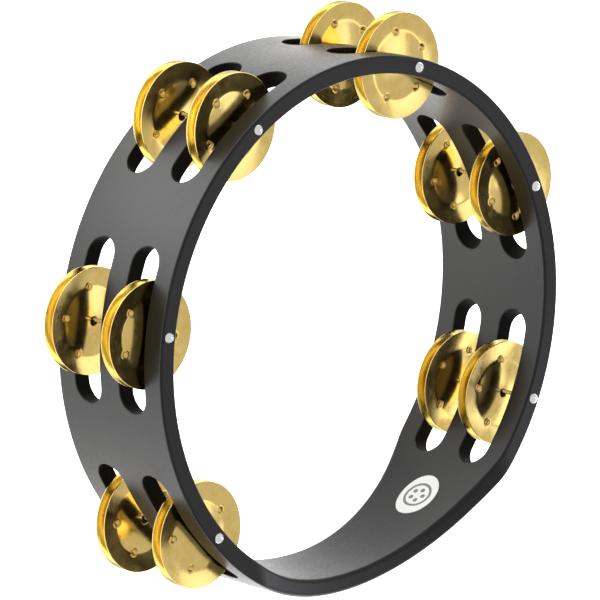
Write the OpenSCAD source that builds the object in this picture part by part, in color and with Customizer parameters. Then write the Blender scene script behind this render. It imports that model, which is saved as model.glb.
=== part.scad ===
// Double-row wooden tambourine: one bent hoop with a narrowed grip, six pins and
// twelve pairs of brass jingles. The ring lies flat on its lower rim, with its axis
// along Z and its grip towards -Y. The origin is the middle of its outline on the table.

/* [Hoop] */
// Outer diameter of the hoop
hoop_d = 254; // [240:1:270]
// Thickness of the wooden wall
wall_t = 8.5; // [7:0.1:10]
// Width of the wooden band, from rim to rim
hoop_w = 69; // [66:1:76]
// Rounding of the four long edges
edge_r = 1.2; // [0.5:0.1:2]

/* [Grip] */
// Width of the band at the middle of the grip
grip_w = 44.4; // [38:0.2:52]
// Radius of the hollow that narrows each rim at the grip
grip_sweep_r = 262; // [230:2:300]
// Radius that blends each end of the hollow into the straight rim
grip_blend_r = 24; // [10:1:40]

/* [Slots] */
// Number of pins, each crossing one slot of the upper row and one of the lower row
stations = 6; // [6:1:6]
// Angle between neighbouring pins, in degrees
station_pitch = 49.3; // [47:0.1:50]
// Height of each slot row above or below the middle of the band
row_z = 14.8; // [14:0.1:16]
// Length of a slot
slot_l = 76; // [70:1:80]
// Height of a slot
slot_h = 17; // [16:0.2:18]

/* [Jingles] */
// Diameter of a jingle
jingle_d = 49.6; // [46:0.2:51]
// Thickness of the brass sheet
sheet_t = 0.5; // [0.4:0.05:0.6]
// Radius of the crease where the dome meets the flange
crease_r = 16; // [14:0.5:17]
// Height of the dome above the crease
dome_h = 1.8; // [1.2:0.1:2]
// Height of the flange's rim above the crease
flange_h = 1.5; // [0.8:0.1:1.8]
// Diameter of the hole in the middle
jingle_bore_d = 4.4; // [3.5:0.1:5]
// Number of dimples punched along the crease
dimples = 5; // [4:1:6]
// Radius of the round punch that makes a dimple
punch_r = 1.5; // [1.2:0.1:1.8]
// Clear space left between the two jingles of a pair
pair_gap = 0.3; // [0.3:0.05:0.6]
// How far every jingle hangs off the middle of its pin, towards the grip
hang = 0.9; // [0:0.1:0.9]
// How far each upper pair has slid along its pin, from the grip's right hand side round
upper_shift = [-3.6, 2.9, 4.4, 1.5, 4.3, 4.4]; // [-4.4:0.1:4.4]
// How far each lower pair has slid along its pin, in the same order
lower_shift = [-1.4, -4.4, -2.8, -4.4, -4.2, -3.8]; // [-4.4:0.1:4.4]

// How far the top jingle of each upper pair is turned on its pin, in degrees
upper_turn = [44, 36, 23, 8, 33, 29]; // [0:1:72]
// How far the top jingle of each lower pair is turned on its pin, in degrees
lower_turn = [20, 20, 36, 10, 67, 28]; // [0:1:72]
// Turn of the bottom jingles from one pin to the next, in degrees
bottom_turn_step = 25; // [0:1:72]

/* [Pins] */
// Diameter of a pin's shank
pin_d = 2; // [1.8:0.1:2.4]
// Diameter of a pin's domed head
pin_head_d = 5; // [4:0.1:6]
// Height of a pin's domed head
pin_head_h = 1.6; // [1:0.1:2]
// Length of a pin below its head
pin_l = 65; // [62:1:66]

/* [Badge] */
// Length of the oval badge along the band
badge_l = 25; // [20:0.5:28]
// Height of the oval badge
badge_h = 20.5; // [16:0.5:22]
// Thickness of the badge
badge_t = 0.4; // [0.2:0.05:0.6]
// Angle from the middle of the grip to the badge, in degrees
badge_angle = 26.4; // [24:0.2:30]
// Height of the badge's centre above the middle of the band
badge_z = 1.2; // [-2:0.1:2]

/* [Hidden] */
$fn = 96;
hoop_r = hoop_d / 2;
bore_r = hoop_r - wall_t;
pin_circle_r = hoop_r - wall_t / 2;
rim_z = hoop_w / 2;
grip_angle = -90;
pin_fit = 0.03;
pin_tip_h = 2;
// Room left in the wood beyond a pin's point
tip_room = 0.5;
// How far a cutting shape runs past the surface that it cuts
past = 1;
// The crease's inner face stands clear of the pair's middle by the dimples' bumps
bump_h = 0.8;
crease_z = pair_gap / 2 + bump_h + sheet_t;
// Height of the punch's centre above the crease's outer face
punch_up = punch_r - bump_h;
dome_r = (pow(crease_r, 2) + pow(dome_h, 2)) / (2 * dome_h);

// The jingles opposite the grip reach furthest along +Y, and the hoop itself along -Y
far_reach = pin_circle_r * cos(station_pitch / 2) - hang + jingle_d / 2;
hoop_y = (hoop_r - far_reach) / 2;

// Angle of a pin round the hoop: the stations are even, and the grip is their gap
function station_angle(i) = grip_angle + 180 + (i - (stations + 1) / 2) * station_pitch;

// The band's section, with its four corners rounded
module band_section() {
    translate([bore_r + edge_r, -rim_z]) square([wall_t - 2 * edge_r, hoop_w]);
    translate([bore_r, -rim_z + edge_r]) square([wall_t, hoop_w - 2 * edge_r]);
    for (x = [bore_r + edge_r, hoop_r - edge_r], z = [-rim_z + edge_r, rim_z - edge_r])
        translate([x, z]) circle(edge_r, $fn = 24);
}

// Outline of the wood cut away above the grip, seen along the grip's radius
module grip_hollow() {
    sweep_z = grip_w / 2 + grip_sweep_r;
    blend_x = sqrt(pow(grip_sweep_r + grip_blend_r, 2) - pow(sweep_z - rim_z + grip_blend_r, 2));
    touch_x = blend_x * grip_sweep_r / (grip_sweep_r + grip_blend_r);
    touch_z = sweep_z - sqrt(pow(grip_sweep_r, 2) - pow(touch_x, 2));
    intersection() {
        translate([0, sweep_z]) circle(grip_sweep_r, $fn = 360);
        translate([-hoop_r, 0]) square([hoop_d, rim_z + past]);
    }
    for (side = [-1, 1])
        difference() {
            polygon([[side * touch_x, touch_z], [side * blend_x, rim_z], [side * touch_x, rim_z]]);
            translate([side * blend_x, rim_z - grip_blend_r]) circle(grip_blend_r, $fn = 180);
        }
}

// One straight-sided slot with round ends, cut square through the wall
module slot() {
    end_x = (slot_l - slot_h) / 2;
    rotate([90, 0, 90])
        linear_extrude(wall_t + 16, center = true) {
            square([2 * end_x, slot_h], center = true);
            for (side = [-1, 1])
                translate([side * end_x, 0]) circle(slot_h / 2);
        }
}

module hoop() {
    color("#2b2a29")
        difference() {
            rotate_extrude($fn = 240) band_section();
            for (end = [0, 1])
                mirror([0, 0, end])
                    rotate([90, 0, 0])
                        linear_extrude(hoop_r + past) grip_hollow();
            for (i = [1:stations], row = [-1, 1])
                rotate([0, 0, station_angle(i)])
                    translate([pin_circle_r, 0, row * row_z]) slot();
            for (i = [1:stations])
                rotate([0, 0, station_angle(i)])
                    translate([pin_circle_r, 0, rim_z - pin_l - tip_room])
                        cylinder(pin_l + tip_room + past, r = pin_d / 2 + pin_fit, $fn = 32);
        }
}

// The badge is a thin oval that follows the curve of the inner wall
module badge() {
    outline = [for (a = [0:7.5:352.5]) [badge_l / 2 * cos(a), badge_h / 2 * sin(a)]];
    color("#f4f3ef")
        intersection() {
            difference() {
                cylinder(badge_h + 2 * past, r = bore_r, center = true, $fn = 240);
                cylinder(badge_h + 4 * past, r = bore_r - badge_t, center = true, $fn = 240);
            }
            rotate([0, 0, grip_angle + badge_angle])
                rotate([90, 0, 90])
                    linear_extrude(hoop_r) translate([0, badge_z]) polygon(outline);
        }
}

// A nail-like pin: a domed head on the rim, a straight shank and a short point
module pin(i) {
    head_r = pin_head_d / 2;
    ball_r = (pow(head_r, 2) + pow(pin_head_h, 2)) / (2 * pin_head_h);
    color("#d9dadb")
        rotate([0, 0, station_angle(i)])
            translate([pin_circle_r, 0, rim_z]) {
                intersection() {
                    translate([0, 0, pin_head_h - ball_r]) sphere(ball_r);
                    cylinder(pin_head_h + past, r = head_r + past);
                }
                translate([0, 0, pin_tip_h - pin_l])
                    cylinder(pin_l - pin_tip_h, r = pin_d / 2, $fn = 32);
                translate([0, 0, -pin_l])
                    cylinder(pin_tip_h, r1 = pin_d / 8, r2 = pin_d / 2, $fn = 32);
            }
}

// Section of the brass sheet: a shallow dome, a crease and a flange that rises again
module sheet_section() {
    jingle_r = jingle_d / 2;
    intersection() {
        translate([0, dome_h - dome_r])
            difference() {
                circle(dome_r, $fn = 720);
                circle(dome_r - sheet_t, $fn = 720);
            }
        translate([jingle_bore_d / 2, -dome_h])
            square([crease_r - jingle_bore_d / 2, 3 * dome_h]);
    }
    polygon([
        [crease_r, 0], [jingle_r, flange_h],
        [jingle_r, flange_h - sheet_t], [crease_r, -sheet_t]
    ]);
}

// One jingle with its crease at z = 0 and its dome upwards
module jingle() {
    color("#d9b048")
        difference() {
            union() {
                rotate_extrude($fn = 180) sheet_section();
                intersection() {
                    dimple_ring(punch_r + sheet_t);
                    translate([0, 0, -sheet_t - bump_h])
                        cylinder(sheet_t + bump_h, r = jingle_d / 2);
                }
            }
            dimple_ring(punch_r);
        }
}

// The round punches that press the dimples in, spaced evenly along the crease
module dimple_ring(r) {
    for (n = [0:dimples - 1])
        rotate([0, 0, n * 360 / dimples])
            translate([crease_r, 0, punch_up]) sphere(r, $fn = 32);
}

// A jingle on its pin: side is 1 for the top one of a pair and -1 for the bottom one
module jingle_on_pin(i, row, side) {
    shift = row > 0 ? upper_shift[i - 1] : lower_shift[i - 1];
    top_turn = row > 0 ? upper_turn[i - 1] : lower_turn[i - 1];
    turn = side > 0 ? top_turn : bottom_turn_step * i;
    translate([0, -hang, row * row_z + shift])
        rotate([0, 0, station_angle(i)])
            translate([pin_circle_r, 0, 0])
                rotate([0, 0, turn])
                    mirror([0, 0, side > 0 ? 0 : 1])
                        translate([0, 0, crease_z]) jingle();
}

// Moves the ring from its own centre to where it lies on the table
module on_table() {
    translate([0, hoop_y, rim_z]) children();
}

// Name of the jingle on one side of a pair
function jingle_name(i, row, side) =
    str("jingle_", i, row > 0 ? "_upper" : "_lower", side > 0 ? "_top" : "_bottom");

on_table() hoop();
on_table() badge();
for (i = [1:stations])
    on_table() pin(i);
for (i = [1:stations], row = [1, -1], side = [1, -1])
    on_table() jingle_on_pin(i, row, side);
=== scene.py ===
"""Looks of the double-row wooden tambourine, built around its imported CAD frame.

The shapes are written in millimetres, as in the CAD source. The camera and the studio are in metres,
as everything in Blender is.
"""

import math

import bpy
from mathutils import Matrix, Vector


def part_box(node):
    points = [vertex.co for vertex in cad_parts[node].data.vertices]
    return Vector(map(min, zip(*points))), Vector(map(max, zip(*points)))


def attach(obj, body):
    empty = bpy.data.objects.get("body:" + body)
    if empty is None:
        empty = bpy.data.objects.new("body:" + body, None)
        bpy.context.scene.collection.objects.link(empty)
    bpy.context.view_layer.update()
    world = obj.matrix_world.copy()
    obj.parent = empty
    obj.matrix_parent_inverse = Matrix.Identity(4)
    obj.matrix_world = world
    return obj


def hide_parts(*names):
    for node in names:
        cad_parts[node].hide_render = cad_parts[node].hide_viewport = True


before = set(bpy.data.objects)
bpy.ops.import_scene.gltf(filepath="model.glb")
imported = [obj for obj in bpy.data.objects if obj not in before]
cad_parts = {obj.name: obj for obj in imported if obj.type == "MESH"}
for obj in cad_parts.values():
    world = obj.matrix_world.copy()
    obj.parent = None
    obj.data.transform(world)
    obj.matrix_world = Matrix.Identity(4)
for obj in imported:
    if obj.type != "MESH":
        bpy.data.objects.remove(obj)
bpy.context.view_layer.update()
MM = 0.001
# A normal that leans up by less than this counts as level
FLAT = 1e-9

# Hoop
HOOP_R = 127.0
WALL_T = 8.5
BORE_R = HOOP_R - WALL_T
HALF_W = 34.5
RIM_EDGE_R = 1.2
SLOT_EDGE_R = 0.5

# Grip: a large hollow in each rim, blended at its ends, with a fuller roundover
GRIP_HALF_W = 22.2
GRIP_SWEEP_R = 262.0
GRIP_BLEND_R = 24.0
GRIP_EDGE_R = 2.6
GRIP_EDGE_FADE = 26.0
SWEEP_Z = GRIP_HALF_W + GRIP_SWEEP_R
BLEND_X = math.sqrt((GRIP_SWEEP_R + GRIP_BLEND_R) ** 2 - (SWEEP_Z - HALF_W + GRIP_BLEND_R) ** 2)
TOUCH_X = BLEND_X * GRIP_SWEEP_R / (GRIP_SWEEP_R + GRIP_BLEND_R)

# Stations and slots
STATIONS = 6
PITCH = 49.3
ROW_Z = 14.8
SLOT_L = 76.0
SLOT_H = 17.0
SLOT_CAP_X = (SLOT_L - SLOT_H) / 2

# Jingles
JINGLE_R = 24.8
SHEET_T = 0.5
CREASE_R = 16.0
DOME_H = 1.8
FLANGE_H = 1.5
BORE_HOLE_R = 2.2
DIMPLES = 5
# Radius of the punch behind each dimple, and the height of its centre above the crease
PUNCH_R = 1.65
PUNCH_UP = 0.85
DOME_R = (CREASE_R**2 + DOME_H**2) / (2 * DOME_H)
CREASE_SOFTNESS = 0.26
# Share of the flange's mean slope that it has at the crease, before it curls up
FLANGE_START = 0.62
LIP_H = 0.2
LIP_W = 0.34
# How far the top jingles are turned on their nails, station by station, and the step of the bottom ones
TURNS = {"upper": (44, 36, 23, 8, 33, 29), "lower": (20, 20, 36, 10, 67, 28)}
BOTTOM_TURN_STEP = 25

# Pins
PIN_R = 1.0
PIN_L = 65.0
PIN_TIP_H = 2.0
PIN_HEAD_R = 2.5
PIN_HEAD_H = 1.6
PIN_NECK = 0.1
PIN_SHANK_TOP = 1.0
PIN_POINT_R = 0.6
PIN_POINT_H = 0.9

# Badge
BADGE_L = 25.0
BADGE_H = 20.5
BADGE_T = 0.4
BADGE_ANGLE = -63.6
BADGE_Z = 1.2
MARK_DOTS = 5

# Camera: where it stands from the ring's centre, its roll, and how far off its axis the ring's centre lies
CAMERA_AZIMUTH = 152.99
CAMERA_ELEVATION = 44.72
CAMERA_ROLL = -103.33
CAMERA_DISTANCE = 2.8146
RING_OFF_RIGHT = 0.00604
RING_OFF_DOWN = 0.00812
CAMERA_LENS = 365.3
SENSOR_WIDTH = 36.0
CLIP_START = 0.1
CLIP_END = 20.0

# Studio, in metres: the floor's own glow, and patches where it glows more or less: a painted dim patch by the
# grip and a painted pool of light, which change the light and reflections on the hoop
# (spot, radii between which the change fades out, change at the spot)
FLOOR_HALF = 3.0
FLOOR_GLOW = 2.2
GLOW_PATCHES = (
    ((0.045, -0.100, 0.0), (0.020, 0.085), -1.15),
    ((-0.130, 0.130, 0.0), (0.020, 0.090), 2.6),
)
WORLD_STRENGTH = 0.72
COOL_WHITE = (0.97, 1.0, 1.12)

# Lamps as seen from the ring's centre: name, azimuth, elevation, distance, (width, height), power
SOFTBOXES = (
    ("key", -8.0, 51.0, 1.6, (0.6, 0.6), 1.15),
    ("low_card", -36.0, 22.8, 0.41, (0.16, 0.10), 0.065),
)

# Brass tones from dull to bright, on the outside and, paler, on the faces between the discs of a pair: the
# paler set is painted light that stands in for the light in the gap
BRASS_OUTSIDE = ((0.72, 0.51, 0.15), (0.79, 0.575, 0.19), (0.84, 0.63, 0.235))
BRASS_GAP_PAINTED_LIGHT = ((0.79, 0.65, 0.28), (0.83, 0.70, 0.33), (0.85, 0.73, 0.37))


def box_centre(node):
    low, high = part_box(node)
    return (low + high) / 2


HOOP_CENTRE = box_centre("hoop")


def station_angle(i):
    return math.radians(90 + (i - (STATIONS + 1) / 2) * PITCH)


def smoothstep(t):
    t = min(1.0, max(0.0, t))
    return t * t * (3 - 2 * t)


def spread(start, end, steps):
    """steps + 1 even values from start to end."""
    return [start + (end - start) * k / steps for k in range(steps + 1)]


class Shell:
    """Collects points with their own surface normals, and the faces between them, in millimetres."""

    MERGE_DIGITS = 5

    def __init__(self):
        self.known = {}
        self.points = []
        self.normals = []
        self.faces = []
        self.materials = []

    def vertex(self, point, normal):
        key = tuple(round(c, self.MERGE_DIGITS) for c in point)
        if key not in self.known:
            self.known[key] = len(self.points)
            self.points.append(Vector(point))
            self.normals.append(Vector(normal).normalized())
        return self.known[key]

    def face(self, corners, material=0):
        ring = [c for k, c in enumerate(corners) if c != corners[k - 1]]
        if len(set(ring)) < 3:
            return
        a, b, c = (self.points[ring[k]] for k in (0, 1, 2))
        across = (b - a).cross(c - b)
        if len(ring) == 4:
            across += (c - a).cross(self.points[ring[3]] - b)
        outward = sum((self.normals[k] for k in ring), Vector((0, 0, 0)))
        self.faces.append(ring if across.dot(outward) > 0 else ring[::-1])
        self.materials.append(material)

    def strip(self, first, second, materials=None):
        """Faces between two rows of vertices, each face with its own material's index if they are given."""
        for k in range(len(first) - 1):
            corners = (first[k], first[k + 1], second[k + 1], second[k])
            self.face(corners, materials[k] if materials else 0)

    def grid(self, rows, materials=None):
        for first, second in zip(rows, rows[1:]):
            self.strip(first, second, materials)

    def mesh(self, name):
        made = bpy.data.meshes.new(name)
        made.from_pydata([p * MM for p in self.points], [], self.faces)
        made.polygons.foreach_set("material_index", self.materials)
        made.shade_smooth()
        made.normals_split_custom_set_from_vertices(self.normals)
        made.update()
        return made


def place(name, mesh, body, node, spot=(0, 0, 0)):
    """Puts a finished mesh in the scene as the piece that stands for a CAD node."""
    piece = bpy.data.objects.new(name, mesh)
    bpy.context.scene.collection.objects.link(piece)
    piece.location = spot
    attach(piece, body)
    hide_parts(node)
    return piece


# ---------------------------------------------------------------- hoop


def rim_height(x, y):
    """Height of the rim above mid-band, and its slope along x, at a point of the ring."""
    reach = abs(x)
    if y > 0 or reach >= BLEND_X:
        return HALF_W, 0.0
    if reach <= TOUCH_X:
        drop = math.sqrt(GRIP_SWEEP_R**2 - x * x)
        return SWEEP_Z - drop, x / drop
    rise = math.sqrt(GRIP_BLEND_R**2 - (reach - BLEND_X) ** 2)
    return HALF_W - GRIP_BLEND_R + rise, math.copysign((BLEND_X - reach) / rise, x)


def edge_radius(x, y):
    """The rim's roundover grows from the straight rim into the grip."""
    if y > 0:
        return RIM_EDGE_R
    share = smoothstep((BLEND_X - abs(x)) / GRIP_EDGE_FADE)
    return RIM_EDGE_R + (GRIP_EDGE_R - RIM_EDGE_R) * share


def slot_outline():
    """Half of a slot's outline from end to end: where each point starts along the slot, and its way out."""
    cap_steps = 12
    straight_steps = 18
    outline = []
    for t in spread(math.pi, math.pi / 2, cap_steps):
        outline.append((-SLOT_CAP_X, math.cos(t), math.sin(t)))
    for x in spread(-SLOT_CAP_X, SLOT_CAP_X, straight_steps)[1:-1]:
        outline.append((x, 0.0, 1.0))
    for t in spread(math.pi / 2, 0.0, cap_steps):
        outline.append((SLOT_CAP_X, math.cos(t), math.sin(t)))
    return outline


OUTLINE = slot_outline()


def on_station(i, along, radius, z):
    """Point of the ring at a distance along the tangent from a station's own radius."""
    angle = station_angle(i)
    out = math.sqrt(radius * radius - along * along)
    x = out * math.cos(angle) - along * math.sin(angle)
    y = out * math.sin(angle) + along * math.cos(angle)
    return Vector((x, y, z))


def radial(point):
    return Vector((point.x, point.y, 0)).normalized()


def column_angles(radius):
    """Angles of the mesh's columns at one radius, with the half height of the slot cut out of each column."""
    post_steps = 10
    grip_steps = 110
    half = SLOT_H / 2 + SLOT_EDGE_R
    columns = []
    for i in range(1, STATIONS + 1):
        for start, out_y, out_z in OUTLINE:
            turn = math.asin((start + half * out_y) / radius)
            columns.append((station_angle(i) + turn, half * out_z))
        last = columns[-1][0]
        ahead = station_angle(i + 1) if i < STATIONS else station_angle(1) + 2 * math.pi
        ahead -= math.asin((SLOT_CAP_X + half) / radius)
        steps = post_steps if i < STATIONS else grip_steps
        columns += [(a, 0.0) for a in spread(last, ahead, steps)[1:-1]]
    return columns


def face_of_band(shell, radius, outward):
    """One curved face of the band, cut by the slots."""
    rows = {name: [] for name in ("rim_low", "a", "b", "c", "d", "rim_high")}
    for angle, cut in column_angles(radius):
        x, y = radius * math.cos(angle), radius * math.sin(angle)
        normal = Vector((math.cos(angle), math.sin(angle), 0)) * outward
        rim = rim_height(x, y)[0] - edge_radius(x, y)
        levels = (-rim, -ROW_Z - cut, -ROW_Z + cut, ROW_Z - cut, ROW_Z + cut, rim)
        for name, z in zip(rows, levels):
            rows[name].append(shell.vertex((x, y, z), normal))
    for first, second in (("rim_low", "a"), ("b", "c"), ("d", "rim_high")):
        shell.strip(rows[first] + rows[first][:1], rows[second] + rows[second][:1])


def rim_of_band(shell, side):
    """The rim on one side, from the outer face over both roundovers to the inner face."""
    arc_steps = 5
    flat_steps = 3
    outer = column_angles(HOOP_R)
    inner = column_angles(BORE_R)
    quarter = spread(0.0, math.pi / 2, arc_steps)
    rings = []
    for (a_out, _), (a_in, _) in zip(outer, inner):
        middle = (a_out + a_in) / 2
        middle_r = (HOOP_R + BORE_R) / 2
        edge = edge_radius(middle_r * math.cos(middle), middle_r * math.sin(middle))
        # Each spot: radius, depth below the rim, and how far its normal points outwards and up
        spots = [
            (HOOP_R - edge * (1 - math.cos(t)), edge * (1 - math.sin(t)), math.cos(t), math.sin(t))
            for t in quarter
        ]
        flat = spread(HOOP_R - edge, BORE_R + edge, flat_steps)[1:-1]
        spots += [(r, 0.0, 0.0, 1.0) for r in flat]
        spots += [
            (BORE_R + edge * (1 - math.cos(t)), edge * (1 - math.sin(t)), -math.cos(t), math.sin(t))
            for t in reversed(quarter)
        ]
        ring = []
        for radius, drop, out, up in spots:
            share = (radius - BORE_R) / WALL_T
            angle = a_in + (a_out - a_in) * share
            x, y = radius * math.cos(angle), radius * math.sin(angle)
            if up < FLAT:
                drop = edge_radius(x, y)
            height, slope = rim_height(x, y)
            top = Vector((-slope, 0, 1)).normalized()
            top.z *= side
            normal = Vector((math.cos(angle), math.sin(angle), 0)) * out + top * up
            ring.append(shell.vertex((x, y, side * (height - drop)), normal))
        rings.append(ring)
    shell.grid(rings + rings[:1])


def walls_of_slot(shell, i, row):
    """The slot's inside, with the edge rounded over at both faces of the band."""
    arc_steps = 3
    quarter = spread(0.0, math.pi / 2, arc_steps)
    layers = [
        (SLOT_EDGE_R * (1 - math.sin(t)), HOOP_R - SLOT_EDGE_R * (1 - math.cos(t)), math.cos(t), math.sin(t))
        for t in quarter
    ]
    layers += [
        (SLOT_EDGE_R * (1 - math.sin(t)), BORE_R + SLOT_EDGE_R * (1 - math.cos(t)), -math.cos(t), math.sin(t))
        for t in reversed(quarter)
    ]
    angle = station_angle(i)
    tangent = Vector((-math.sin(angle), math.cos(angle), 0))
    # Only the straight wall between the two roundovers is bare of lacquer
    raw = [1 if k == arc_steps else 0 for k in range(len(layers) - 1)]
    for half in (1, -1):
        rows = []
        for start, out_y, out_z in OUTLINE:
            inward = -(tangent * out_y + Vector((0, 0, half * out_z)))
            line = []
            for grow, radius, out, across in layers:
                reach = SLOT_H / 2 + grow
                z = row * ROW_Z + half * reach * out_z
                point = on_station(i, start + reach * out_y, radius, z)
                line.append(shell.vertex(point, radial(point) * out + inward * across))
            rows.append(line)
        shell.grid(rows, raw)


def build_hoop():
    shell = Shell()
    face_of_band(shell, HOOP_R, 1)
    face_of_band(shell, BORE_R, -1)
    for side in (1, -1):
        rim_of_band(shell, side)
    for i in range(1, STATIONS + 1):
        for row in (1, -1):
            walls_of_slot(shell, i, row)
    return shell.mesh("hoop_band")


# ---------------------------------------------------------------- jingles


def base_height(radius):
    """The sheet's outer face: a shallow dome and a flange that curls up again, joined by a soft crease."""
    dome = DOME_H - DOME_R + math.sqrt(DOME_R**2 - radius**2)
    share = (radius - CREASE_R) / (JINGLE_R - CREASE_R)
    flange = FLANGE_H * share * (FLANGE_START + (1 - FLANGE_START) * max(0.0, share))
    return (dome + flange + math.sqrt((dome - flange) ** 2 + CREASE_SOFTNESS**2)) / 2


def sheet_height(radius, angle):
    """The outer face with its punched dimples and the low lip round each."""
    sector = 2 * math.pi / DIMPLES
    off = (angle + sector / 2) % sector - sector / 2
    away = math.sqrt(radius**2 + CREASE_R**2 - 2 * radius * CREASE_R * math.cos(off))
    height = base_height(radius)
    if away < PUNCH_R:
        height = min(height, PUNCH_UP - math.sqrt(PUNCH_R**2 - away**2))
    return height + LIP_H * math.exp(-(((away - PUNCH_R) / LIP_W) ** 2))


def sheet_normal(radius, angle):
    step = 0.04
    turn = step / radius
    rise = (sheet_height(radius + step, angle) - sheet_height(radius - step, angle)) / (2 * step)
    swirl = (sheet_height(radius, angle + turn) - sheet_height(radius, angle - turn)) / (2 * step)
    out = Vector((math.cos(angle), math.sin(angle), 0))
    round_ = Vector((-math.sin(angle), math.cos(angle), 0))
    return (Vector((0, 0, 1)) - out * rise - round_ * swirl).normalized()


def jingle_radii():
    """Radii of the rings, closer together over the crease and its dimples."""
    near = PUNCH_R + 2 * LIP_W
    edge = SHEET_T / 2
    dome_steps, crease_steps, flange_steps = 9, 22, 6
    dome = spread(BORE_HOLE_R + edge, CREASE_R - near, dome_steps)
    crease = spread(CREASE_R - near, CREASE_R + near, crease_steps)
    flange = spread(CREASE_R + near, JINGLE_R - edge, flange_steps)
    return dome + crease[1:] + flange[1:]


def jingle_angles():
    """Angles of the columns, closer together over each dimple."""
    sector = 2 * math.pi / DIMPLES
    near = (PUNCH_R + 2 * LIP_W) / CREASE_R
    wide_steps, close_steps = 14, 20
    wide = spread(near, sector - near, wide_steps)
    close = spread(-near, near, close_steps)
    return [n * sector + a for n in range(DIMPLES) for a in close + wide[1:-1]]


def build_jingle():
    """One brass jingle, crease at z = 0 and dome upwards, with a rolled-over rim and bore edge."""
    shell = Shell()
    arc_steps = 5
    edge = SHEET_T / 2
    radii = jingle_radii()
    columns = []
    for angle in jingle_angles():
        out = Vector((math.cos(angle), math.sin(angle), 0))
        column = []
        for radius in radii:
            normal = sheet_normal(radius, angle)
            column.append(shell.vertex(out * radius + Vector((0, 0, sheet_height(radius, angle))), normal))
        middle = sheet_height(radii[-1], angle) - edge
        for t in spread(math.pi / 2, -math.pi / 2, arc_steps)[1:-1]:
            normal = out * math.cos(t) + Vector((0, 0, math.sin(t)))
            column.append(shell.vertex(out * radii[-1] + Vector((0, 0, middle)) + normal * edge, normal))
        for radius in reversed(radii):
            normal = -sheet_normal(radius, angle)
            low = sheet_height(radius, angle) - SHEET_T
            column.append(shell.vertex(out * radius + Vector((0, 0, low)), normal))
        middle = sheet_height(radii[0], angle) - edge
        for t in spread(-math.pi / 2, math.pi / 2, arc_steps)[1:-1]:
            normal = -out * math.cos(t) + Vector((0, 0, math.sin(t)))
            column.append(shell.vertex(out * radii[0] + Vector((0, 0, middle)) + normal * edge, normal))
        columns.append(column + column[:1])
    # A column's faces run over the outside, round the rim, and back over the inside
    outer_faces = len(radii) + arc_steps // 2
    inner_faces = len(radii) - 1
    # The faces between the discs take the second material, a paler brass painted as the light in the gap
    inside = [1 if outer_faces < k <= outer_faces + inner_faces else 0 for k in range(len(columns[0]) - 1)]
    shell.grid(columns + columns[:1], inside)
    return shell.mesh("jingle_sheet")


def jingle_place(i, row, side):
    """Where a jingle lies and how it is turned: its centre and height come from its CAD node."""
    node = f"jingle_{i}_{row}_{side}"
    low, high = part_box(node)
    dome_top = base_height(BORE_HOLE_R) * MM
    centre = (low + high) / 2
    if side == "top":
        z = high.z - dome_top
        turn = TURNS[row][i - 1]
        flip = Matrix.Identity(4)
    else:
        z = low.z + dome_top
        turn = BOTTOM_TURN_STEP * i
        flip = Matrix.Rotation(math.pi, 4, "X")
    spin = Matrix.Rotation(station_angle(i) + math.radians(turn), 4, "Z")
    return Vector((centre.x, centre.y, z)), spin @ flip


# ---------------------------------------------------------------- pins and badge


def build_pin():
    """A nail: a domed head with a rolled edge, a straight shank and a point, with z = 0 at the rim."""
    head_steps = 10
    shank_steps = 12
    around = 48
    ball_r = (PIN_HEAD_R**2 + PIN_HEAD_H**2) / (2 * PIN_HEAD_H)
    # Each row: radius, height, and how far its normal points outwards and up
    profile = []
    for r in spread(0.0, PIN_HEAD_R, head_steps):
        slope = math.asin(r / ball_r)
        height = PIN_HEAD_H - ball_r + math.sqrt(ball_r**2 - r * r)
        profile.append((r, height, math.sin(slope), math.cos(slope)))
    profile += [(PIN_HEAD_R, 0.0, 0.3, -1.0), (PIN_R + PIN_NECK, 0.0, 0.0, -1.0)]
    profile += [(PIN_R, -PIN_NECK, 1.0, 0.0)]
    profile += [(PIN_R, -z, 1.0, 0.0) for z in spread(PIN_SHANK_TOP, PIN_L - PIN_TIP_H, shank_steps)]
    profile += [(PIN_POINT_R, PIN_POINT_H - PIN_L, 0.9, -0.3), (0.0, -PIN_L, 0.0, -1.0)]
    shell = Shell()
    columns = []
    for a in spread(0.0, 2 * math.pi, around)[:-1]:
        out = Vector((math.cos(a), math.sin(a), 0))
        up = Vector((0, 0, 1))
        columns.append(
            [shell.vertex(out * r + up * z, out * n_out + up * n_up) for r, z, n_out, n_up in profile]
        )
    shell.grid(columns + columns[:1])
    return shell.mesh("pin_nail")


def build_badge():
    """A thin oval that follows the inner wall, with its edge turned down to the wood."""
    rings = 14
    around = 72
    shell = Shell()
    flat = {}
    middle = math.radians(BADGE_ANGLE)
    # Rows from the middle of the face over the turned edge to the middle of the back: the row's share of the
    # oval, its depth below the face, and how far its normal leans inwards
    profile = [(share, 0.0, 1.0) for share in spread(0.0, 0.985, rings)]
    profile += [(0.995, BADGE_T * 0.3, 0.6), (1.0, BADGE_T, 0.0), (0.6, BADGE_T, -1.0), (0.0, BADGE_T, -1.0)]
    rows = []
    for share, drop, lean in profile:
        row = []
        for a in spread(0.0, 2 * math.pi, around)[:-1]:
            along = BADGE_L / 2 * share * math.cos(a)
            up = BADGE_H / 2 * share * math.sin(a)
            angle = middle + math.asin(along / BORE_R)
            radius = BORE_R - BADGE_T + drop
            inward = Vector((-math.cos(angle), -math.sin(angle), 0))
            sideways = Vector((-math.sin(angle) * math.cos(a), math.cos(angle) * math.cos(a), math.sin(a)))
            point = -inward * radius + Vector((0, 0, BADGE_Z + up))
            index = shell.vertex(point, inward * lean + sideways * (1 - abs(lean)))
            flat[index] = (0.5 + along / BADGE_L, 0.5 + up / BADGE_L)
            row.append(index)
        rows.append(row + row[:1])
    shell.grid(rows)
    made = shell.mesh("badge_oval")
    uv = made.uv_layers.new(name="badge")
    for loop in made.loops:
        uv.data[loop.index].uv = flat[loop.vertex_index]
    return made


# ---------------------------------------------------------------- materials


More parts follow.
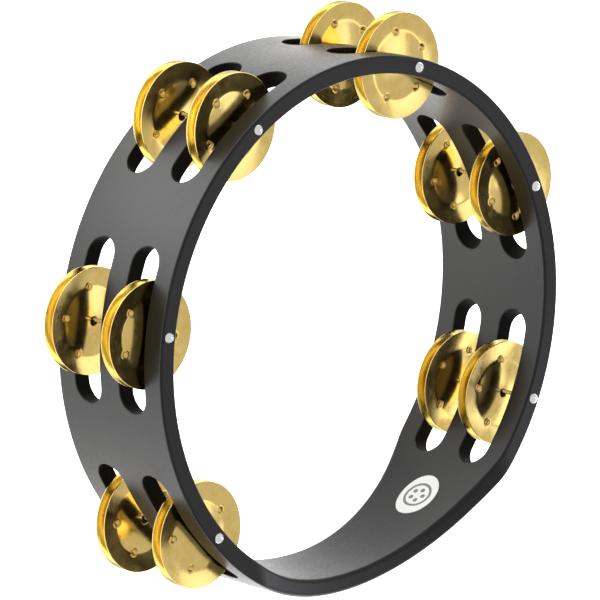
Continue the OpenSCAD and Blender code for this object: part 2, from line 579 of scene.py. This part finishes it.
def new_material(name):
    """A material with its Principled shader, and helpers that add and link nodes."""
    material = bpy.data.materials.new(name)
    material.use_nodes = True
    tree = material.node_tree
    shader = next(n for n in tree.nodes if n.type == "BSDF_PRINCIPLED")

    def node(kind, **settings):
        made = tree.nodes.new(kind)
        inputs = settings.pop("inputs", {})
        for key, value in settings.items():
            setattr(made, key, value)
        for key, value in inputs.items():
            if isinstance(value, bpy.types.NodeSocket):
                tree.links.new(value, made.inputs[key])
            else:
                made.inputs[key].default_value = value
        return made

    def link(source, target):
        tree.links.new(source, target)

    return material, shader, node, link


def ramp_between(node, source, low, high, start=0.0, end=1.0):
    """A value that runs from low to high as source runs from start to end."""
    made = node("ShaderNodeMapRange", inputs={"Value": source})
    made.inputs["From Min"].default_value = start
    made.inputs["From Max"].default_value = end
    made.inputs["To Min"].default_value = low
    made.inputs["To Max"].default_value = high
    return made.outputs["Result"]


def colour_ramp(node, source, stops):
    made = node("ShaderNodeValToRGB", inputs={"Fac": source})
    elements = made.color_ramp.elements
    while len(elements) < len(stops):
        elements.new(0.5)
    for element, (position, colour) in zip(elements, stops):
        element.position = position
        element.color = (*colour, 1.0)
    return made.outputs["Color"]


def noise(node, place_at, scale, detail, **more):
    """A noise texture's factor at a place, or along one axis or with a fourth one for a W input."""
    inputs = {"Scale": scale, "Detail": detail, **more}
    if place_at is not None:
        inputs["Vector"] = place_at
    kinds = {(True, False): "3D", (True, True): "4D", (False, True): "1D"}
    dimensions = kinds[(place_at is not None, "W" in more)]
    return node("ShaderNodeTexNoise", noise_dimensions=dimensions, inputs=inputs).outputs["Fac"]


def stretched(node, place_at, factors):
    """A place with its axes scaled, which stretches the texture read there."""
    scaled = node("ShaderNodeVectorMath", operation="MULTIPLY", inputs={0: place_at, 1: factors})
    return scaled.outputs["Vector"]


def radius_of(node, place_at):
    """Distance of a place from the Z axis."""
    parts = node("ShaderNodeSeparateXYZ", inputs={"Vector": place_at})
    flat = node("ShaderNodeCombineXYZ", inputs={"X": parts.outputs["X"], "Y": parts.outputs["Y"]})
    length = node("ShaderNodeVectorMath", operation="LENGTH", inputs={0: flat.outputs["Vector"]})
    return length.outputs["Value"]


def added(node, first, second):
    return node("ShaderNodeMath", operation="ADD", inputs={0: first, 1: second}).outputs["Value"]


def bump(node, height, strength, distance, under=None):
    """The normal of a bump, on top of another bump's normal if one is given."""
    inputs = {"Height": height, "Strength": strength, "Distance": distance}
    if under is not None:
        inputs["Normal"] = under
    return node("ShaderNodeBump", inputs=inputs).outputs["Normal"]


def lacquer_material():
    """Satin black lacquer over bent wood: grain round the band, fine orange peel, ply lines on the edges."""
    material, shader, node, link = new_material("lacquered_wood")
    place_at = node("ShaderNodeTexCoord").outputs["Object"]
    centred = node("ShaderNodeVectorMath", operation="SUBTRACT", inputs={0: place_at, 1: HOOP_CENTRE})
    radius = radius_of(node, centred.outputs["Vector"])

    grain = noise(node, stretched(node, place_at, (30, 30, 900)), 1.0, 5.0)
    plies = noise(node, None, 1500.0, 3.0, W=radius)
    peel = noise(node, place_at, 1600.0, 2.0)
    cloud = noise(node, place_at, 22.0, 4.0)
    speck = noise(node, place_at, 700.0, 3.0)

    tones = [(0.3, (0.0045, 0.0044, 0.0046)), (0.75, (0.009, 0.0088, 0.009))]
    link(colour_ramp(node, cloud, tones), shader.inputs["Base Color"])
    rough_cloud = ramp_between(node, cloud, 0.30, 0.40, 0.3, 0.7)
    rough_speck = ramp_between(node, speck, -0.04, 0.06, 0.35, 0.7)
    link(added(node, rough_cloud, rough_speck), shader.inputs["Roughness"])

    peel_bump = bump(node, peel, 0.4, 0.00006)
    grain_bump = bump(node, grain, 0.3, 0.00012, peel_bump)
    link(bump(node, plies, 0.35, 0.00025, grain_bump), shader.inputs["Normal"])
    shader.inputs["IOR"].default_value = 1.37
    return material


def slot_wall_material():
    """The cut walls of the slots: black stain on open grain, without the lacquer's gloss."""
    material, shader, node, link = new_material("stained_wood")
    place_at = node("ShaderNodeTexCoord").outputs["Object"]
    fibre = noise(node, stretched(node, place_at, (500, 500, 1400)), 1.0, 5.0)
    tones = [(0.35, (0.0018, 0.0017, 0.0018)), (0.7, (0.007, 0.0068, 0.0068))]
    link(colour_ramp(node, fibre, tones), shader.inputs["Base Color"])
    link(ramp_between(node, fibre, 0.55, 0.8, 0.3, 0.7), shader.inputs["Roughness"])
    link(bump(node, fibre, 0.6, 0.0003), shader.inputs["Normal"])
    shader.inputs["IOR"].default_value = 1.15
    return material


def brass_material(name, tones):
    """Polished stamped brass: lathe lines, slight waviness from the press, smudges in three tones."""
    material, shader, node, link = new_material(name)
    place_at = node("ShaderNodeTexCoord").outputs["Object"]
    radius = radius_of(node, place_at)
    own = node("ShaderNodeObjectInfo").outputs["Random"]
    own_w = node("ShaderNodeMath", operation="MULTIPLY", inputs={0: own, 1: 40.0}).outputs["Value"]

    lathe = noise(node, None, 2600.0, 4.0, W=radius)
    wave = noise(node, place_at, 75.0, 1.0, W=own_w)
    smudge = noise(node, place_at, 190.0, 5.0, W=own_w, Roughness=0.65)

    link(colour_ramp(node, smudge, list(zip((0.30, 0.50, 0.75), tones))), shader.inputs["Base Color"])
    rough_smudge = ramp_between(node, smudge, 0.13, 0.24, 0.35, 0.7)
    rough_lathe = ramp_between(node, lathe, -0.03, 0.03, 0.3, 0.7)
    link(added(node, rough_smudge, rough_lathe), shader.inputs["Roughness"])

    wave_bump = bump(node, wave, 0.5, 0.0003)
    link(bump(node, lathe, 0.2, 0.00002, wave_bump), shader.inputs["Normal"])
    shader.inputs["Metallic"].default_value = 1.0
    return material


def steel_material():
    """Bright nickel-plated nail with fine scratches."""
    material, shader, node, link = new_material("pin_steel")
    place_at = node("ShaderNodeTexCoord").outputs["Object"]
    fine = noise(node, place_at, 1800.0, 4.0)
    tones = [(0.3, (0.78, 0.79, 0.80)), (0.7, (0.92, 0.92, 0.93))]
    link(colour_ramp(node, fine, tones), shader.inputs["Base Color"])
    link(ramp_between(node, fine, 0.04, 0.11, 0.3, 0.7), shader.inputs["Roughness"])
    link(bump(node, fine, 0.25, 0.00003), shader.inputs["Normal"])
    shader.inputs["Metallic"].default_value = 1.0
    return material


def badge_material():
    """White printed foil with a generic mark: a thin ring round five dots."""
    material, shader, node, link = new_material("badge_foil")
    paper = (0.76, 0.76, 0.755)
    ink = (0.09, 0.09, 0.095)
    ring_r, ring_half, dots_r, dot_r, blur = 0.27, 0.024, 0.135, 0.046, 0.006
    uv = node("ShaderNodeUVMap", uv_map="badge").outputs["UV"]

    def distance_to(spot):
        return node("ShaderNodeVectorMath", operation="DISTANCE", inputs={0: uv, 1: spot}).outputs["Value"]

    def within(source, reach):
        return ramp_between(node, source, 1.0, 0.0, reach, reach + blur)

    from_middle = distance_to((0.5, 0.5, 0.0))
    off_ring = node("ShaderNodeMath", operation="SUBTRACT", inputs={0: from_middle, 1: ring_r})
    off_line = node("ShaderNodeMath", operation="ABSOLUTE", inputs={0: off_ring.outputs["Value"]})
    marks = within(off_line.outputs["Value"], ring_half)
    for n in range(MARK_DOTS):
        turn = 2 * math.pi * n / MARK_DOTS + math.pi / 2
        dot = within(distance_to((0.5 + dots_r * math.cos(turn), 0.5 + dots_r * math.sin(turn), 0.0)), dot_r)
        marks = node("ShaderNodeMath", operation="MAXIMUM", inputs={0: marks, 1: dot}).outputs["Value"]

    place_at = node("ShaderNodeTexCoord").outputs["Object"]
    grain = noise(node, place_at, 1500.0, 3.0)
    worn = ramp_between(node, grain, 0.82, 1.0, 0.35, 0.6)
    covered = node("ShaderNodeMath", operation="MULTIPLY", inputs={0: marks, 1: worn}).outputs["Value"]
    link(colour_ramp(node, covered, [(0.0, paper), (1.0, ink)]), shader.inputs["Base Color"])
    link(ramp_between(node, grain, 0.28, 0.42, 0.3, 0.7), shader.inputs["Roughness"])
    link(bump(node, grain, 0.1, 0.00003), shader.inputs["Normal"])
    return material


def floor_material():
    """Pale seamless paper, lit a little from below as on a light table."""
    material, shader, node, link = new_material("floor_paper")
    place_at = node("ShaderNodeTexCoord").outputs["Object"]
    fibre = noise(node, place_at, 600.0, 3.0)
    tones = [(0.3, (0.80, 0.80, 0.80)), (0.7, (0.83, 0.83, 0.83))]
    link(colour_ramp(node, fibre, tones), shader.inputs["Base Color"])
    shader.inputs["Roughness"].default_value = 0.9
    shader.inputs["Emission Color"].default_value = (1.0, 1.0, 1.0, 1.0)
    glow = ramp_between(node, fibre, FLOOR_GLOW, FLOOR_GLOW * 1.02)
    # Painted shade and light: the patches lower and raise the floor's glow in spots, to darken and brighten
    # what the hoop reflects
    for spot, (near, far), change in GLOW_PATCHES:
        away = node("ShaderNodeVectorMath", operation="DISTANCE", inputs={0: place_at, 1: spot})
        glow = added(node, glow, ramp_between(node, away.outputs["Value"], change, 0.0, near, far))
    link(glow, shader.inputs["Emission Strength"])
    return material


# ---------------------------------------------------------------- studio


def build_floor():
    """A square sheet under the tambourine, staged so that it isn't part of the object."""
    made = bpy.data.meshes.new("floor_sheet")
    steps = 8
    row = steps + 1
    line = spread(-FLOOR_HALF, FLOOR_HALF, steps)
    points = [(x, y, 0.0) for y in line for x in line]
    corners = [r * row + c for r in range(steps) for c in range(steps)]
    faces = [(k, k + 1, k + row + 1, k + row) for k in corners]
    made.from_pydata(points, [], faces)
    made.materials.append(floor_material())
    floor = bpy.data.objects.new("floor", made)
    bpy.context.scene.collection.objects.link(floor)


def build_world():
    """Even white light from all round."""
    world = bpy.data.worlds.new("studio")
    world.use_nodes = True
    background = next(n for n in world.node_tree.nodes if n.type == "BACKGROUND")
    background.inputs["Color"].default_value = (1.0, 1.0, 1.0, 1.0)
    background.inputs["Strength"].default_value = WORLD_STRENGTH
    bpy.context.scene.world = world


def softbox(name, azimuth, elevation, distance, size, power):
    """A rectangular, slightly cool light that faces the ring's centre."""
    a, e = math.radians(azimuth), math.radians(elevation)
    away = Vector((math.cos(a) * math.cos(e), math.sin(a) * math.cos(e), math.sin(e)))
    data = bpy.data.lights.new(name, "AREA")
    data.shape = "RECTANGLE"
    data.size, data.size_y = size
    data.energy = power
    data.color = COOL_WHITE
    light = bpy.data.objects.new(name, data)
    light.location = HOOP_CENTRE + away * distance
    light.rotation_euler = (-away).to_track_quat("-Z", "Y").to_euler()
    light.visible_camera = False
    bpy.context.scene.collection.objects.link(light)


def build_camera():
    """A long lens, turned about its axis so that the ring stands upright in the frame."""
    a, e, roll = (math.radians(v) for v in (CAMERA_AZIMUTH, CAMERA_ELEVATION, CAMERA_ROLL))
    back = Vector((math.cos(a) * math.cos(e), math.sin(a) * math.cos(e), math.sin(e)))
    level_right = (-back).cross(Vector((0, 0, 1))).normalized()
    level_up = level_right.cross(-back)
    up = level_up * math.cos(roll) + level_right * math.sin(roll)
    right = up.cross(back)
    data = bpy.data.cameras.new("camera")
    data.lens = CAMERA_LENS
    data.sensor_width = SENSOR_WIDTH
    data.clip_start = CLIP_START
    data.clip_end = CLIP_END
    camera = bpy.data.objects.new("camera", data)
    turned = Matrix((right, up, back)).transposed()
    spot = HOOP_CENTRE + back * CAMERA_DISTANCE - right * RING_OFF_RIGHT + up * RING_OFF_DOWN
    camera.matrix_world = Matrix.Translation(spot) @ turned.to_4x4()
    bpy.context.scene.collection.objects.link(camera)
    bpy.context.scene.camera = camera


# ---------------------------------------------------------------- everything in place


def build_tambourine():
    """Every piece, on the body of the CAD node that it stands for."""
    to_ring = Matrix.Translation(HOOP_CENTRE)
    hoop = build_hoop()
    hoop.transform(to_ring)
    hoop.materials.append(lacquer_material())
    hoop.materials.append(slot_wall_material())
    place("bent_hoop", hoop, "frame", "hoop")

    badge = build_badge()
    badge.transform(to_ring)
    badge.materials.append(badge_material())
    place("oval_badge", badge, "frame", "badge")

    nail = build_pin()
    nail.materials.append(steel_material())
    for i in range(1, STATIONS + 1):
        low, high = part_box(f"pin_{i}")
        spot = Vector(((low.x + high.x) / 2, (low.y + high.y) / 2, high.z - PIN_HEAD_H * MM))
        place(f"nail_{i}", nail, "frame", f"pin_{i}", spot)

    sheet = build_jingle()
    sheet.materials.append(brass_material("jingle_brass", BRASS_OUTSIDE))
    # A paler copy of the brass on the faces between the discs, painted light for the gap
    sheet.materials.append(brass_material("jingle_brass_gap_painted_light", BRASS_GAP_PAINTED_LIGHT))
    for i in range(1, STATIONS + 1):
        for row in ("upper", "lower"):
            for side in ("top", "bottom"):
                node = f"jingle_{i}_{row}_{side}"
                spot, turned = jingle_place(i, row, side)
                mesh = sheet.copy()
                mesh.transform(turned)
                place(f"brass_{i}_{row}_{side}", mesh, node, node, spot)


build_tambourine()
build_floor()
build_world()
for lamp in SOFTBOXES:
    softbox(*lamp)
build_camera()
bpy.context.scene.view_settings.view_transform = "Standard"
